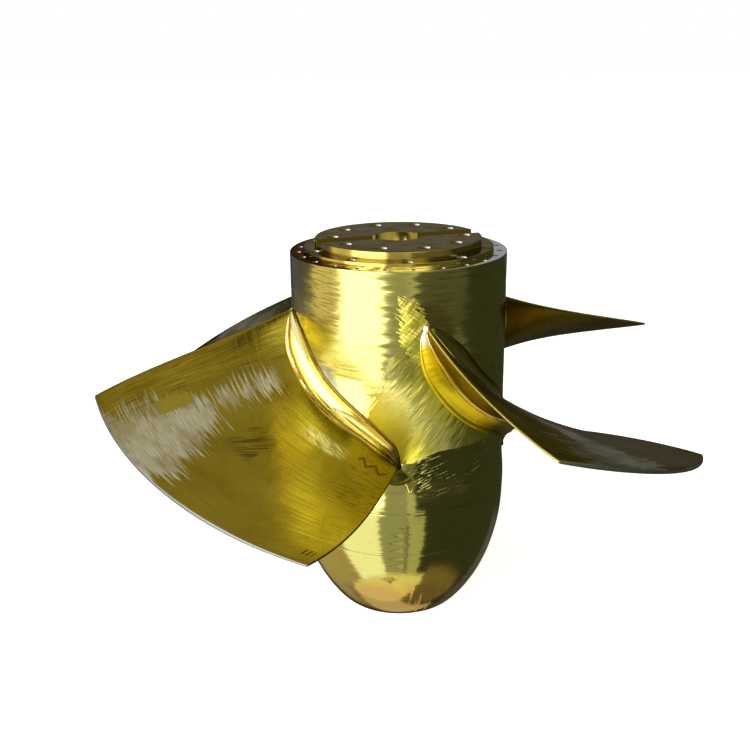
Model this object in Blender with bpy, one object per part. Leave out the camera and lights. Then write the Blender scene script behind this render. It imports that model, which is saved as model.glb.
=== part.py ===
"""Fixed-blade Kaplan-type turbine runner: a bronze hub with four twisted blades, their root welds,
a bored coupling disc with a key slot on top, and a blunt runner cone that it stands on.

Metres, +Z up. The origin is the centre of the cone's flat base, and the runner turns about +Z.
Every blade is the same shape, turned by a quarter turn from the last one.
"""

import bmesh
import bpy
from math import atan2, cos, hypot, pi, radians, sin
from mathutils import Vector

MM = 0.001
SEAT_GAP = 0.3 * MM  # clearance between two pieces that touch

# Driving sizes of the hub
HUB_RADIUS = 210 * MM
RIM_HEIGHT = 734.5 * MM  # machined top face of the barrel, above the floor
BARREL_FOOT_HEIGHT = 268 * MM  # seam between the barrel and the cone
NOSE_SEAM_HEIGHT = 178 * MM  # seam between the cone and its cap
ROUND_SIDES = 72

# Driving sizes of the cone, a superellipse between the barrel's swollen foot and the flat base
CONE_START_HEIGHT = 273 * MM
SWELL_RADIUS = 214 * MM  # widest radius, where the barrel meets the cone
SWELL_LENGTH = 70 * MM  # height over which the barrel swells to it
BASE_RADIUS = 117 * MM
CONE_RADIAL_POWER = 1.19
CONE_AXIAL_POWER = 2.25
CONE_WALL = 26 * MM

# Driving sizes of the coupling end; heights are above the rim face
STEP_RING_RADIUS = 184 * MM
STEP_RING_TOP = 9 * MM
DISC_RADIUS = 161 * MM
DISC_TOP = 25 * MM
COUPLING_DEPTH = 40 * MM  # how far the ring and the disc sit down in the barrel
DECK_THICKNESS = 20 * MM
BORE_RADIUS = 45 * MM
BUSH_BORE_RADIUS = 36 * MM
BUSH_TOP = 4 * MM
KEY_SLOT_WIDTH = 38 * MM
KEY_SLOT_AZIMUTH = 18.5

# Rings of holes: count, pitch radius, hole radius, depth and the azimuth of one hole in degrees
DISC_HOLES = {"count": 10, "pitch": 127.5 * MM, "radius": 10 * MM, "depth": 40 * MM, "azimuth": 3.5}
RING_HOLES = {"count": 10, "pitch": 172.5 * MM, "radius": 8.5 * MM, "depth": 30 * MM, "azimuth": 23.3}
RIM_HOLES = {"count": 24, "pitch": 195 * MM, "radius": 4 * MM, "depth": 25 * MM, "azimuth": 8.4}
PLUGGED_RING_HOLE = 8  # place of the step ring's plugged hole, counted round from the first one
PLUG_DROP = 1.5 * MM  # how far the plug's face lies below the ring's face

# Driving sizes of a blade, at four cylindrical sections from the hub to the tip
BLADE_COUNT = 4
TIP_RADIUS = 597 * MM
TIP_BOW = 3 * MM  # how far the tip bulges past its corners at mid chord
LEAD_AZIMUTH = (194.3, 197.9, 200.6, 203.9)
LEAD_DROP = (106 * MM, 148.5 * MM, 183 * MM, 219 * MM)  # below the rim face
TRAIL_AZIMUTH = (269.3, 265.1, 261.5, 256.3)
TRAIL_DROP = (368.5 * MM, 365 * MM, 369.5 * MM, 375 * MM)
CAMBER_SAG = (39 * MM, 25.5 * MM, 16 * MM, 6.5 * MM)  # sag of the section at mid chord
CAMBER_SWAY = (46 * MM, 13.5 * MM, -3 * MM, -4 * MM)  # extra sag before mid chord, less after it
THICKNESS = (40 * MM, 18.5 * MM, 9 * MM, 8 * MM)
EDGE_THICKNESS = 4.2 * MM
THICKEST_PLACE = 1 / 3  # share of the chord, behind the leading edge
CHORD_STEPS = 18
SPAN_STEPS = 11

# Driving sizes of the ground weld round each blade root
WELD_RADIUS = 29 * MM
WELD_LIP = 1.5 * MM
WELD_ARC_STEPS = 4
WELD_TURN_STEPS = 3  # steps of the weld's turn round the blade's edges

COUPLING_FLOOR = RIM_HEIGHT - COUPLING_DEPTH

FINISHES = {
    "polished_bronze": ((0.62, 0.50, 0.10, 1.0), 0.22),
    "ground_bronze": ((0.66, 0.50, 0.09, 1.0), 0.30),
    "machined_bronze": ((0.33, 0.30, 0.22, 1.0), 0.40),
    "steel": ((0.42, 0.42, 0.42, 1.0), 0.45),
}


def finish(name):
    """A metal finish, made once and shared by every piece that has it."""
    material = bpy.data.materials.get(name)
    if material is None:
        colour, roughness = FINISHES[name]
        material = bpy.data.materials.new(name)
        material.use_nodes = True
        shader = material.node_tree.nodes["Principled BSDF"]
        shader.inputs["Base Color"].default_value = colour
        shader.inputs["Metallic"].default_value = 1.0
        shader.inputs["Roughness"].default_value = roughness
    return material


def add_object(name, mesh, finish_name, parent, turn=0.0):
    """Puts a mesh on the runner's axis as one named piece, turned about the axis by an angle."""
    if not mesh.materials:
        mesh.materials.append(finish(finish_name))
    piece = bpy.data.objects.new(name, mesh)
    piece.parent = parent
    piece.rotation_euler.z = turn
    bpy.context.scene.collection.objects.link(piece)
    return piece


def mesh_from(name, points, faces):
    """A closed mesh from points and triangles, shaded smooth except at its sharp edges."""
    mesh = bpy.data.meshes.new(name)
    work = bmesh.new()
    corners = [work.verts.new(point) for point in points]
    for face in faces:
        work.faces.new([corners[index] for index in face])
    bmesh.ops.recalc_face_normals(work, faces=work.faces)
    work.to_mesh(mesh)
    work.free()
    mesh.shade_smooth()
    mesh.set_sharp_from_angle(angle=radians(35))
    return mesh


def turned(name, outline):
    """A mesh turned about the axis from a closed outline of (radius, height) points."""
    mesh = bpy.data.meshes.new(name)
    work = bmesh.new()
    ring = [work.verts.new((radius, 0.0, height)) for radius, height in outline]
    edges = [work.edges.new((ring[i - 1], ring[i])) for i in range(len(ring))]
    bmesh.ops.spin(
        work, geom=ring + edges, cent=(0, 0, 0), axis=(0, 0, 1), angle=2 * pi, steps=ROUND_SIDES
    )
    bmesh.ops.remove_doubles(work, verts=work.verts, dist=0.01 * MM)
    bmesh.ops.dissolve_degenerate(work, edges=work.edges, dist=0.01 * MM)
    bmesh.ops.recalc_face_normals(work, faces=work.faces)
    work.to_mesh(mesh)
    work.free()
    mesh.shade_smooth()
    mesh.set_sharp_from_angle(angle=radians(35))
    return mesh


def tube(name, inner, outer, low, high):
    """A plain ring between two radii and two heights."""
    return turned(name, [(inner, low), (outer, low), (outer, high), (inner, high)])


def polar(radius, azimuth, height):
    return Vector((radius * cos(azimuth), radius * sin(azimuth), height))


def hole_centres(holes):
    """The azimuths, in radians, of one ring of holes."""
    step = 360 / holes["count"]
    return [radians(holes["azimuth"] + step * i) for i in range(holes["count"])]


def cut(piece, name, add_shapes):
    """Cuts a piece by a hidden cutter that add_shapes fills with closed solids."""
    mesh = bpy.data.meshes.new(name)
    work = bmesh.new()
    add_shapes(work)
    work.to_mesh(mesh)
    work.free()
    cutter = bpy.data.objects.new(name, mesh)
    cutter.parent = piece.parent
    cutter.hide_render = True
    cutter.hide_set(False)
    cutter.display_type = "WIRE"
    bpy.context.scene.collection.objects.link(cutter)
    boolean = piece.modifiers.new(name, "BOOLEAN")
    boolean.operation = "DIFFERENCE"
    boolean.object = cutter


def drill_ring(piece, holes, face_height, sides):
    """Drills one ring of blind holes down from a face."""

    def add_drills(work):
        overshoot = 5 * MM
        for azimuth in hole_centres(holes):
            drill = bmesh.ops.create_cone(
                work,
                cap_ends=True,
                segments=sides,
                radius1=holes["radius"],
                radius2=holes["radius"],
                depth=holes["depth"] + overshoot,
            )
            middle = face_height + (overshoot - holes["depth"]) / 2
            bmesh.ops.translate(work, verts=drill["verts"], vec=polar(holes["pitch"], azimuth, middle))

    cut(piece, piece.name + "_drills", add_drills)


def cone_radius(height):
    """Outer radius of the barrel and the cone at a height above the floor."""
    if height >= CONE_START_HEIGHT:
        rise = min((height - CONE_START_HEIGHT) / SWELL_LENGTH, 1.0)
        return HUB_RADIUS + (SWELL_RADIUS - HUB_RADIUS) * (1 - rise) ** 2 * (1 + 2 * rise)
    share = (CONE_START_HEIGHT - height) / CONE_START_HEIGHT
    fullness = (1 - share**CONE_AXIAL_POWER) ** (1 / CONE_RADIAL_POWER)
    return BASE_RADIUS + (SWELL_RADIUS - BASE_RADIUS) * fullness


def heights_between(low, high, steps, crowd=1.0):
    """Heights from low to high; a crowd above 1 draws them together near the low end."""
    return [low + (high - low) * (i / steps) ** crowd for i in range(steps + 1)]


def make_barrel(axis):
    swell_top = CONE_START_HEIGHT + SWELL_LENGTH
    outer = [(cone_radius(h), h) for h in heights_between(BARREL_FOOT_HEIGHT, swell_top, 6)]
    inner_radius = STEP_RING_RADIUS + SEAT_GAP
    outline = outer + [
        (HUB_RADIUS, RIM_HEIGHT),
        (inner_radius, RIM_HEIGHT),
        (inner_radius, BARREL_FOOT_HEIGHT),
    ]
    barrel = add_object("hub_barrel", turned("hub_barrel", outline), "polished_bronze", axis)
    drill_ring(barrel, RIM_HOLES, RIM_HEIGHT, 8)


def make_cone(axis):
    top = BARREL_FOOT_HEIGHT - SEAT_GAP
    heights = heights_between(NOSE_SEAM_HEIGHT, top, 4)
    outer = [(cone_radius(h), h) for h in heights]
    inner = [(cone_radius(h) - CONE_WALL, h) for h in (top, NOSE_SEAM_HEIGHT)]
    add_object("cone_shell", turned("cone_shell", outer + inner), "polished_bronze", axis)


def make_nose(axis):
    top = NOSE_SEAM_HEIGHT - SEAT_GAP
    outer = [(cone_radius(h), h) for h in heights_between(0.0, top, 9, crowd=1.4)]
    floor = CONE_WALL
    inner = [(cone_radius(h) - CONE_WALL, h) for h in (top, (top + floor) / 2, floor)]
    outline = [(0.0, 0.0)] + outer + inner + [(0.0, floor)]
    add_object("nose_cap", turned("nose_cap", outline), "polished_bronze", axis)


def make_coupling_end(axis):
    barrel_bore = STEP_RING_RADIUS
    deck = tube(
        "hub_deck",
        BORE_RADIUS,
        barrel_bore,
        COUPLING_FLOOR - SEAT_GAP - DECK_THICKNESS,
        COUPLING_FLOOR - SEAT_GAP,
    )
    add_object("hub_deck", deck, "machined_bronze", axis)

    ring_face = RIM_HEIGHT + STEP_RING_TOP
    ring_mesh = tube("step_ring", DISC_RADIUS + SEAT_GAP, STEP_RING_RADIUS, COUPLING_FLOOR, ring_face)
    ring = add_object("step_ring", ring_mesh, "machined_bronze", axis)
    drill_ring(ring, RING_HOLES, ring_face, 12)

    disc_face = RIM_HEIGHT + DISC_TOP
    disc_mesh = tube("coupling_disc", BORE_RADIUS, DISC_RADIUS, COUPLING_FLOOR, disc_face)
    disc = add_object("coupling_disc", disc_mesh, "machined_bronze", axis)
    drill_ring(disc, DISC_HOLES, disc_face, 12)
    cut_key_slot(disc, ring_face, disc_face)

    bush_foot = COUPLING_FLOOR - SEAT_GAP - DECK_THICKNESS
    bush = tube("bore_bush", BUSH_BORE_RADIUS, BORE_RADIUS - SEAT_GAP, bush_foot, RIM_HEIGHT + BUSH_TOP)
    add_object("bore_bush", bush, "polished_bronze", axis)
    make_plug(axis, ring_face)


def cut_key_slot(disc, floor, face):
    """Mills the slot for the shaft's key right across the coupling disc."""

    def add_slot(work):
        overshoot = 10 * MM
        size = Vector((2 * (DISC_RADIUS + overshoot), KEY_SLOT_WIDTH, face - floor + overshoot))
        box = bmesh.ops.create_cube(work, size=1.0)
        bmesh.ops.scale(work, verts=box["verts"], vec=size)
        bmesh.ops.translate(work, verts=box["verts"], vec=(0, 0, floor + size.z / 2))
        for corner in box["verts"]:
            distance = hypot(corner.co.x, corner.co.y)
            azimuth = atan2(corner.co.y, corner.co.x) + radians(KEY_SLOT_AZIMUTH)
            corner.co = polar(distance, azimuth, corner.co.z)

    cut(disc, "key_slot", add_slot)


def make_plug(axis, ring_face):
    """The plug that fills one hole of the step ring, standing on the hole's floor."""
    work = bmesh.new()
    low = ring_face - RING_HOLES["depth"] + SEAT_GAP
    high = ring_face - PLUG_DROP
    plug_radius = RING_HOLES["radius"] - SEAT_GAP
    drill = bmesh.ops.create_cone(
        work, cap_ends=True, segments=12, radius1=plug_radius, radius2=plug_radius, depth=high - low
    )
    azimuth = hole_centres(RING_HOLES)[PLUGGED_RING_HOLE]
    place = polar(RING_HOLES["pitch"], azimuth, (low + high) / 2)
    bmesh.ops.translate(work, verts=drill["verts"], vec=place)
    mesh = bpy.data.meshes.new("ring_hole_plug")
    work.to_mesh(mesh)
    work.free()
    add_object("ring_hole_plug", mesh, "steel", axis)


def along_span(values, t):
    """A smooth curve through four values that stand at 0, 1/3, 2/3 and 1 of the blade's span."""
    a, b, c, d = values
    u = 3 * t
    return (
        -a * (u - 1) * (u - 2) * (u - 3) / 6
        + b * u * (u - 2) * (u - 3) / 2
        - c * u * (u - 1) * (u - 3) / 2
        + d * u * (u - 1) * (u - 2) / 6
    )


def blade_point(s, radius, side, off=0.0, fan=0.0):
    """A point of a blade at s of its chord (0 leading edge, 1 trailing edge) and a radius.

    The side is 1 on the upper skin, -1 on the lower one, and 0 on the middle surface. The point stands
    off the skin by off, square to it, or turned by the angle fan towards the chord's nearer end.
    """
    t = (radius - HUB_RADIUS) / (TIP_RADIUS - HUB_RADIUS)
    lead = radians(along_span(LEAD_AZIMUTH, t))
    sweep = radians(along_span(TRAIL_AZIMUTH, t)) - lead
    drop = along_span(LEAD_DROP, t)
    fall = along_span(TRAIL_DROP, t) - drop
    sag = along_span(CAMBER_SAG, t)
    sway = along_span(CAMBER_SWAY, t)
    height = RIM_HEIGHT - drop - fall * s - 4 * s * (1 - s) * (sag + sway * (1 - 2 * s))
    slope = -fall - 4 * sag * (1 - 2 * s) - 4 * sway * (1 - 6 * s + 6 * s * s)
    run = radius * sweep
    length = hypot(run, slope)
    along = (run / length, slope / length)
    square = (-along[1], along[0])

    fullness = s**0.5 * (1 - s) / (THICKEST_PLACE**0.5 * (1 - THICKEST_PLACE))
    body = max(along_span(THICKNESS, t) - EDGE_THICKNESS, 0.0) * fullness
    half = (EDGE_THICKNESS + body) / 2
    reach = side * (half + off * cos(fan))
    end = off * sin(fan) * (1 if s > 0.5 else -1)
    across = square[0] * reach + along[0] * end
    up = square[1] * reach + along[1] * end
    bow = TIP_BOW * max(t, 0.0) ** 3 * 4 * s * (1 - s)
    return polar(radius + bow, lead + sweep * s + across / radius, height + up)


def blade_radii():
    """Radii of the blade's sections: the root, the top of its weld, then even steps to the tip."""
    root = HUB_RADIUS + SEAT_GAP
    weld_top = root + WELD_LIP + WELD_RADIUS
    steps = SPAN_STEPS - 1
    return [root] + [weld_top + (TIP_RADIUS - weld_top) * i / steps for i in range(steps + 1)]


def quad(a, b, c, d):
    """Two triangles that share the edge from a to c."""
    return [(a, b, c), (a, c, d)]


def blade_mesh():
    """One blade as a loft of closed sections, each cut by a cylinder round the axis."""
    shares = [i / CHORD_STEPS for i in range(CHORD_STEPS + 1)]
    rounding = EDGE_THICKNESS / 2
    points = []
    for radius in blade_radii():
        points += [blade_point(s, radius, 1) for s in shares]
        points.append(blade_point(1.0, radius, 0, rounding, pi / 2))
        points += [blade_point(s, radius, -1) for s in reversed(shares)]
        points.append(blade_point(0.0, radius, 0, rounding, pi / 2))
    loop = 2 * len(shares) + 2
    sections = len(points) // loop
    faces = []
    for j in range(sections - 1):
        for i in range(loop):
            a, b = j * loop + i, j * loop + (i + 1) % loop
            faces += quad(a, b, b + loop, a + loop)
    for first, radius in ((0, blade_radii()[0]), ((sections - 1) * loop, blade_radii()[-1])):
        faces += end_cap(points, first, loop, radius, shares)
    return mesh_from("blade", points, faces)


def end_cap(points, first, loop, radius, shares):
    """Closes a section along its middle line, so that the cap follows the cylinder it lies on."""
    trail_edge, lead_edge = first + len(shares), first + loop - 1
    middle = [len(points) + i for i in range(len(shares))]
    points.extend(blade_point(s, radius, 0) for s in shares)
    faces = [
        (first, middle[0], lead_edge),
        (lead_edge, middle[0], lead_edge - 1),
        (trail_edge - 1, trail_edge, middle[-1]),
        (trail_edge, trail_edge + 1, middle[-1]),
    ]
    for i in range(len(shares) - 1):
        upper, lower = first + i, lead_edge - 1 - i
        faces += quad(upper, upper + 1, middle[i + 1], middle[i])
        faces += quad(middle[i], middle[i + 1], lower - 1, lower)
    return faces


def weld_profile():
    """The weld's cross-section as (off the blade, off the hub) points, round from the inner corner."""
    leg = WELD_LIP + WELD_RADIUS
    arc = []
    for i in range(WELD_ARC_STEPS + 1):
        turn = pi / 2 * i / WELD_ARC_STEPS
        arc.append((leg - WELD_RADIUS * sin(turn), leg - WELD_RADIUS * cos(turn)))
    return [(0.0, 0.0), (leg / 2, 0.0), (leg, 0.0)] + arc + [(0.0, leg)]


def weld_mesh(side):
    """The ground weld on one side of a blade's root, from middle to middle of the blade's edges."""
    turns = [pi / 2 * (1 - i / WELD_TURN_STEPS) for i in range(WELD_TURN_STEPS)]
    stations = [(0.0, turn) for turn in turns]
    stations += [(i / CHORD_STEPS, 0.0) for i in range(CHORD_STEPS + 1)]
    stations += [(1.0, turn) for turn in reversed(turns)]
    profile = weld_profile()
    root = HUB_RADIUS + SEAT_GAP
    size = len(profile)
    points = []
    for s, turn in stations:
        for off_blade, off_hub in profile:
            points.append(blade_point(s, root + off_hub, side, off_blade + SEAT_GAP, turn))
    for s, first in ((0.0, True), (1.0, False)):
        row = []
        for off_blade, off_hub in profile:
            reach = off_blade + SEAT_GAP + EDGE_THICKNESS / 2
            radius = root + off_hub
            middle = blade_point(s, radius, 0, reach, pi / 2)
            corner = blade_point(s, radius, side, reach, pi / 2)
            row.append(middle.lerp(corner, SEAT_GAP / EDGE_THICKNESS))
        points = row + points if first else points + row
    count = len(points) // size
    faces = []
    for j in range(count - 1):
        for i in range(size):
            a, b = j * size + i, j * size + (i + 1) % size
            if side > 0:
                a, b = b, a  # the same diagonals as the blade's upper skin
            faces += quad(a, b, b + size, a + size)
    for first in (0, (count - 1) * size):
        faces += [(first, first + i, first + i + 1) for i in range(1, size - 1)]
    name = "root_weld_upper" if side > 0 else "root_weld_lower"
    return mesh_from(name, points, faces)


def make_blades(axis):
    blade = blade_mesh()
    welds = {"upper": weld_mesh(1), "lower": weld_mesh(-1)}
    for i in range(BLADE_COUNT):
        turn = 2 * pi * i / BLADE_COUNT
        add_object(f"blade_{i + 1}", blade, "polished_bronze", axis, turn)
        for side, mesh in welds.items():
            add_object(f"root_weld_{side}_{i + 1}", mesh, "ground_bronze", axis, turn)


def main():
    for old in list(bpy.data.objects):
        bpy.data.objects.remove(old, do_unlink=True)
    axis = bpy.data.objects.new("runner_axis", None)
    bpy.context.scene.collection.objects.link(axis)
    make_barrel(axis)
    make_cone(axis)
    make_nose(axis)
    make_coupling_end(axis)
    make_blades(axis)


main()
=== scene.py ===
# %% [markdown]
# A turbine runner of cast and hand-ground bronze, dressed for its picture
#
# The runner hangs under a water turbine's shaft and the river turns it. It has a hollow hub, four twisted
# blades welded to it, a drilled coupling end on top and a blunt cone below, on which it stands here for its
# picture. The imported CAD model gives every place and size. This script leaves it as it is, and builds finer
# pieces over it: the same shapes with ground edges, weld beads, drilled and countersunk holes, and the
# finishes of worked bronze.

from functools import partial
from math import cos, pi, radians, sin

import bpy
import numpy as np
from mathutils import Matrix, Vector, noise


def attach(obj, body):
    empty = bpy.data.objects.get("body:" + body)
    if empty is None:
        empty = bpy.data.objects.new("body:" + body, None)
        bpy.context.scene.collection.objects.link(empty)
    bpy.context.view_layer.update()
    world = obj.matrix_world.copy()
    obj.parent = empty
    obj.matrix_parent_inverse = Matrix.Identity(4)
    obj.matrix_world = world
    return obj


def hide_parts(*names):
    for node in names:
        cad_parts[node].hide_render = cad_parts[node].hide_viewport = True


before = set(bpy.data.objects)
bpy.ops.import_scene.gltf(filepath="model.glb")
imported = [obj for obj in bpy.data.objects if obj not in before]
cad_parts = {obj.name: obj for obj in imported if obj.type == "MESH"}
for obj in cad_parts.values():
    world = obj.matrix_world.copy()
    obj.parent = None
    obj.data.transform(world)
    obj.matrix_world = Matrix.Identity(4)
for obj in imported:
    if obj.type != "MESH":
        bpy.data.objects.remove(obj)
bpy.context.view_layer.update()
print("CAD nodes:", len(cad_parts))

# %% [markdown]
# Sizes. A drawing gives a part's driving sizes once, and everything else follows from them. These are the
# same sizes that the CAD model was made from, in metres, so that a new piece lands exactly where its CAD
# node is.

# %% Driving sizes
MM = 0.001
UP = (0.0, 0.0, 1.0)
HUB_RADIUS = 210 * MM
RIM_HEIGHT = 734.5 * MM
BARREL_FOOT_HEIGHT = 268 * MM
NOSE_SEAM_HEIGHT = 178 * MM
HUB_WALL = 26 * MM
SEAT_GAP = 0.3 * MM
SIDES = 192

# %% [markdown]
# The camera. A lens of 50 mm on a full frame, two metres from the axis and looking down by 18 degrees, gives
# the perspective of a hand-held picture of a runner this size, with a small turn and roll from the hand.

# %% Place the camera
camera_data = bpy.data.cameras.new("camera")
camera_data.lens = 49.99
camera_data.sensor_width = 36
camera = bpy.data.objects.new("camera", camera_data)
bpy.context.scene.collection.objects.link(camera)
turn = Matrix.Rotation(0.0238, 4, "Z")
tip_down = Matrix.Rotation(pi / 2 - 0.3152, 4, "X")
roll = Matrix.Rotation(-0.0098, 4, "Z")
camera.matrix_world = Matrix.Translation((0, -1.9974, 1.1281)) @ turn @ tip_down @ roll
bpy.context.scene.camera = camera
print("Camera at", [round(v, 3) for v in camera.location])

# %% [markdown]
# Shader sums. A shader is a chain of small sums. Building it by hand means adding a node and joining
# sockets, which takes many clicks. Here an output of a node is kept as a field, and a sum that is written
# with it, such as field * 2 + 1, adds the Math nodes.

# %% Fields that add shader nodes
class Field:
    """What one output of a shader node gives at each point of a surface."""

    def __init__(self, socket):
        self.socket = socket
        self.tree = socket.id_data

    def __add__(self, other):
        return reckon("ADD", self, other)

    def __sub__(self, other):
        return reckon("SUBTRACT", self, other)

    def __rsub__(self, other):
        return reckon("SUBTRACT", other, self)

    def __mul__(self, other):
        return reckon("MULTIPLY", self, other)

    def __truediv__(self, other):
        return reckon("DIVIDE", self, other)

    def __abs__(self):
        return reckon("ABSOLUTE", self)


def feed(node, values):
    """Gives a node's inputs their values: numbers, colours or fields."""
    for place, value in values.items():
        into = node.inputs[place]
        if isinstance(value, Field):
            node.id_data.links.new(value.socket, into)
        elif into.type == "RGBA":
            into.default_value = (*value[:3], 1.0)
        else:
            into.default_value = value


def add_node(tree, kind, values=None, output=0, **settings):
    """Adds a node and gives back one of its outputs as a field."""
    made = tree.nodes.new("ShaderNode" + kind)
    for setting, value in settings.items():
        setattr(made, setting, value)
    feed(made, values or {})
    return Field(made.outputs[output])


def grow_node(kind, values, output=0, **settings):
    """Adds a node to the tree that the fields among its values are in."""
    tree = next(value.tree for value in values.values() if isinstance(value, Field))
    return add_node(tree, kind, values, output, **settings)


def reckon(operation, *values):
    return grow_node("Math", dict(enumerate(values)), operation=operation)


def most(*values):
    return reckon("MAXIMUM", *values)


def vector_of(operation, *values):
    output = "Value" if operation == "LENGTH" else "Vector"
    return grow_node("VectorMath", dict(enumerate(values)), output, operation=operation)


def scaled(vector, factor):
    return grow_node("VectorMath", {0: vector, "Scale": factor}, "Vector", operation="SCALE")


def joined(x, y=0.0, z=0.0):
    return grow_node("CombineXYZ", {0: x, 1: y, 2: z})


def parts_of(vector):
    x = grow_node("SeparateXYZ", {0: vector})
    return [Field(output) for output in x.socket.node.outputs]


def eased(value, low, high, out_low=0.0, out_high=1.0):
    """Goes smoothly from out_low to out_high while the value goes from low to high."""
    sockets = {0: value, 1: low, 2: high, 3: out_low, 4: out_high}
    return grow_node("MapRange", sockets, interpolation_type="SMOOTHSTEP")


def grain(vector, scale, detail=2.0, rough=0.5):
    """Soft noise between 0 and 1."""
    sockets = {"Vector": vector, "Scale": scale, "Detail": detail, "Roughness": rough}
    return grow_node("TexNoise", sockets, "Fac")


def mixed(factor, a, b, blend="MIX"):
    """Mixes two colours."""
    return grow_node("Mix", {0: factor, 6: a, 7: b}, 2, data_type="RGBA", blend_type=blend)


def painted(base, *coats):
    """Lays coats of (how thick, colour) over a base colour, one after the other."""
    for thickness, colour in coats:
        base = mixed(thickness, base, colour)
    return base


# %% [markdown]
# The studio. Polished metal has no colour of its own to speak of: it shows the room. The room here is a
# plain studio sky, made in the world shader: a tall bright window at the front left, weaker light in front,
# a narrow skylight overhead, and dark cloth on the right, which gives bright metal its deep shades. A world
# shader has the room at no distance, so it never casts a hard edge on the floor.

# %% Build one soft window of the studio as a node group
WINDOW_SETTINGS = ("Middle", "Half width", "Height", "Half height", "Soft", "Strength")


def studio_window():
    group = bpy.data.node_groups.new("studio_window", "ShaderNodeTree")
    for name in ("Azimuth", "Elevation") + WINDOW_SETTINGS:
        group.interface.new_socket(name, in_out="INPUT", socket_type="NodeSocketFloat")
    group.interface.new_socket("Colour", in_out="INPUT", socket_type="NodeSocketColor")
    group.interface.new_socket("Colour", in_out="OUTPUT", socket_type="NodeSocketColor")
    given = {output.name: Field(output) for output in group.nodes.new("NodeGroupInput").outputs}
    away = abs(reckon("WRAP", given["Azimuth"] - given["Middle"], 180.0, -180.0))
    above = abs(given["Elevation"] - given["Height"])
    inside = given["Strength"]
    for distance, half in ((away, given["Half width"]), (above, given["Half height"])):
        inside = inside * eased(distance, half + given["Soft"], half - given["Soft"])
    feed(group.nodes.new("NodeGroupOutput"), {0: scaled(given["Colour"], inside)})
    return group


# %% Hang the studio's windows round the runner
# Azimuth of the middle, half width, elevation of the middle, half height, softness, strength and colour
WINDOWS = {
    "front left window": (-130.5, 24.5, 20, 43, 3.5, 2.6, (1.0, 1.0, 1.0)),
    "front window": (-76, 24, 36, 32, 9, 1.3, (1.0, 0.97, 0.7)),
    "left sky": (187, 21, 22, 21, 4, 1.05, (1.0, 1.0, 1.15)),
    "left door": (-173, 20, -20, 20, 5, 0.78, (1.0, 0.9, 0.6)),
    "left back wall": (140, 26, -14, 18, 6, 0.11, (1.0, 1.0, 1.5)),
    "left door's foot": (-186, 20, -28, 13, 1.5, 0.78, (1.0, 0.9, 0.6)),
    "left corner": (-187, 12, -16, 14, 6, 0.16, (1.0, 0.95, 0.75)),
    "lit floor": (-138, 26, -43, 21, 2, 1.1, (1.0, 1.0, 1.0)),
    "low left": (-178, 22, -52, 22, 3, 0.42, (1.0, 0.76, 0.42)),
    "floor in front": (-97, 16, -32, 34, 3, 0.33, (1.0, 1.0, 0.8)),
    "narrow reflector": (-77.5, 4.8, -10, 18, 1, 0.48, (1.0, 1.0, 0.8)),
    "reflector's foot": (-70, 9, -44, 18, 1, 0.42, (1.0, 1.0, 0.65)),
    "right front": (-44, 30, 0, 16, 8, 0.12, (1.0, 0.97, 0.8)),
    "near floor left": (-127, 82, -84, 23, 2, 0.85, (1.0, 0.85, 0.5)),
    "near floor right": (-2, 43, -80, 27, 6, 0.18, (1.0, 0.76, 0.35)),
    "near floor behind": (104, 50, -84, 21, 3, 0.6, (1.0, 0.85, 0.5)),
    "grey floor right": (60, 15, -42, 15, 4, 0.09, (1.0, 0.95, 0.85)),
    "dim wall behind": (74, 8, 0, 14, 3, 0.1, (1.0, 1.0, 1.0)),
    "ceiling": (60, 120, 70, 34, 16, 0.42, (1.0, 0.9, 0.55)),
    "back wall": (87, 11, 14, 14, 3, 0.28, (1.0, 1.0, 1.05)),
    "back floor left": (150, 34, -40, 24, 12, 0.4, (1.0, 0.85, 0.5)),
}
DARK_CLOTH = (0.034, 0.038, 0.024)


def hang_windows(direction):
    x, y, z = parts_of(direction)
    azimuth = reckon("DEGREES", reckon("ARCTAN2", y, x))
    elevation = reckon("DEGREES", reckon("ARCSINE", z))
    group = studio_window()
    light = DARK_CLOTH
    for label, (*sizes, colour) in WINDOWS.items():
        settings = {"Azimuth": azimuth, "Elevation": elevation, "Colour": colour}
        settings.update(zip(WINDOW_SETTINGS, sizes))
        window = add_node(direction.tree, "Group", node_tree=group, label=label)
        feed(window.socket.node, settings)
        light = mixed(1.0, light, window, "LIGHTEN")
    return light


def build_world():
    world = bpy.data.worlds.new("studio")
    bpy.context.scene.world = world
    world.use_nodes = True
    tree = world.node_tree
    tree.nodes.clear()
    direction = add_node(tree, "TexCoord", output="Generated")
    room = add_node(tree, "Background", {"Color": hang_windows(direction)})
    paper = add_node(tree, "Background", {"Color": (1.0, 1.0, 1.0), "Strength": 1.0})
    seen = add_node(tree, "LightPath", output="Is Camera Ray")
    shown = add_node(tree, "MixShader", {0: seen, 1: room, 2: paper})
    feed(tree.nodes.new("ShaderNodeOutputWorld"), {"Surface": shown})
    print("Studio windows:", len(WINDOWS))


build_world()
bpy.context.scene.view_settings.view_transform = "Standard"

# %% [markdown]
# The floor. The runner stands on a pale studio floor that runs on into white paper. It is one large plane,
# pale enough to vanish into the background, with the soft shade that the runner throws on it. It is hidden
# from the metal, as a studio hides it with a dark cloth, so that the cone keeps its deep shades.

# %% Lay the floor
def clear_selection():
    if bpy.context.object and bpy.context.object.mode != "OBJECT":
        bpy.ops.object.mode_set(mode="OBJECT")
    bpy.ops.object.select_all(action="DESELECT")


def new_paint(name, settings):
    """A new material, its node tree and its main shader with some inputs set."""
    paint = bpy.data.materials.new(name)
    paint.use_nodes = True
    shader = paint.node_tree.nodes["Principled BSDF"]
    feed(shader, settings)
    return paint, paint.node_tree, shader


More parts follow.
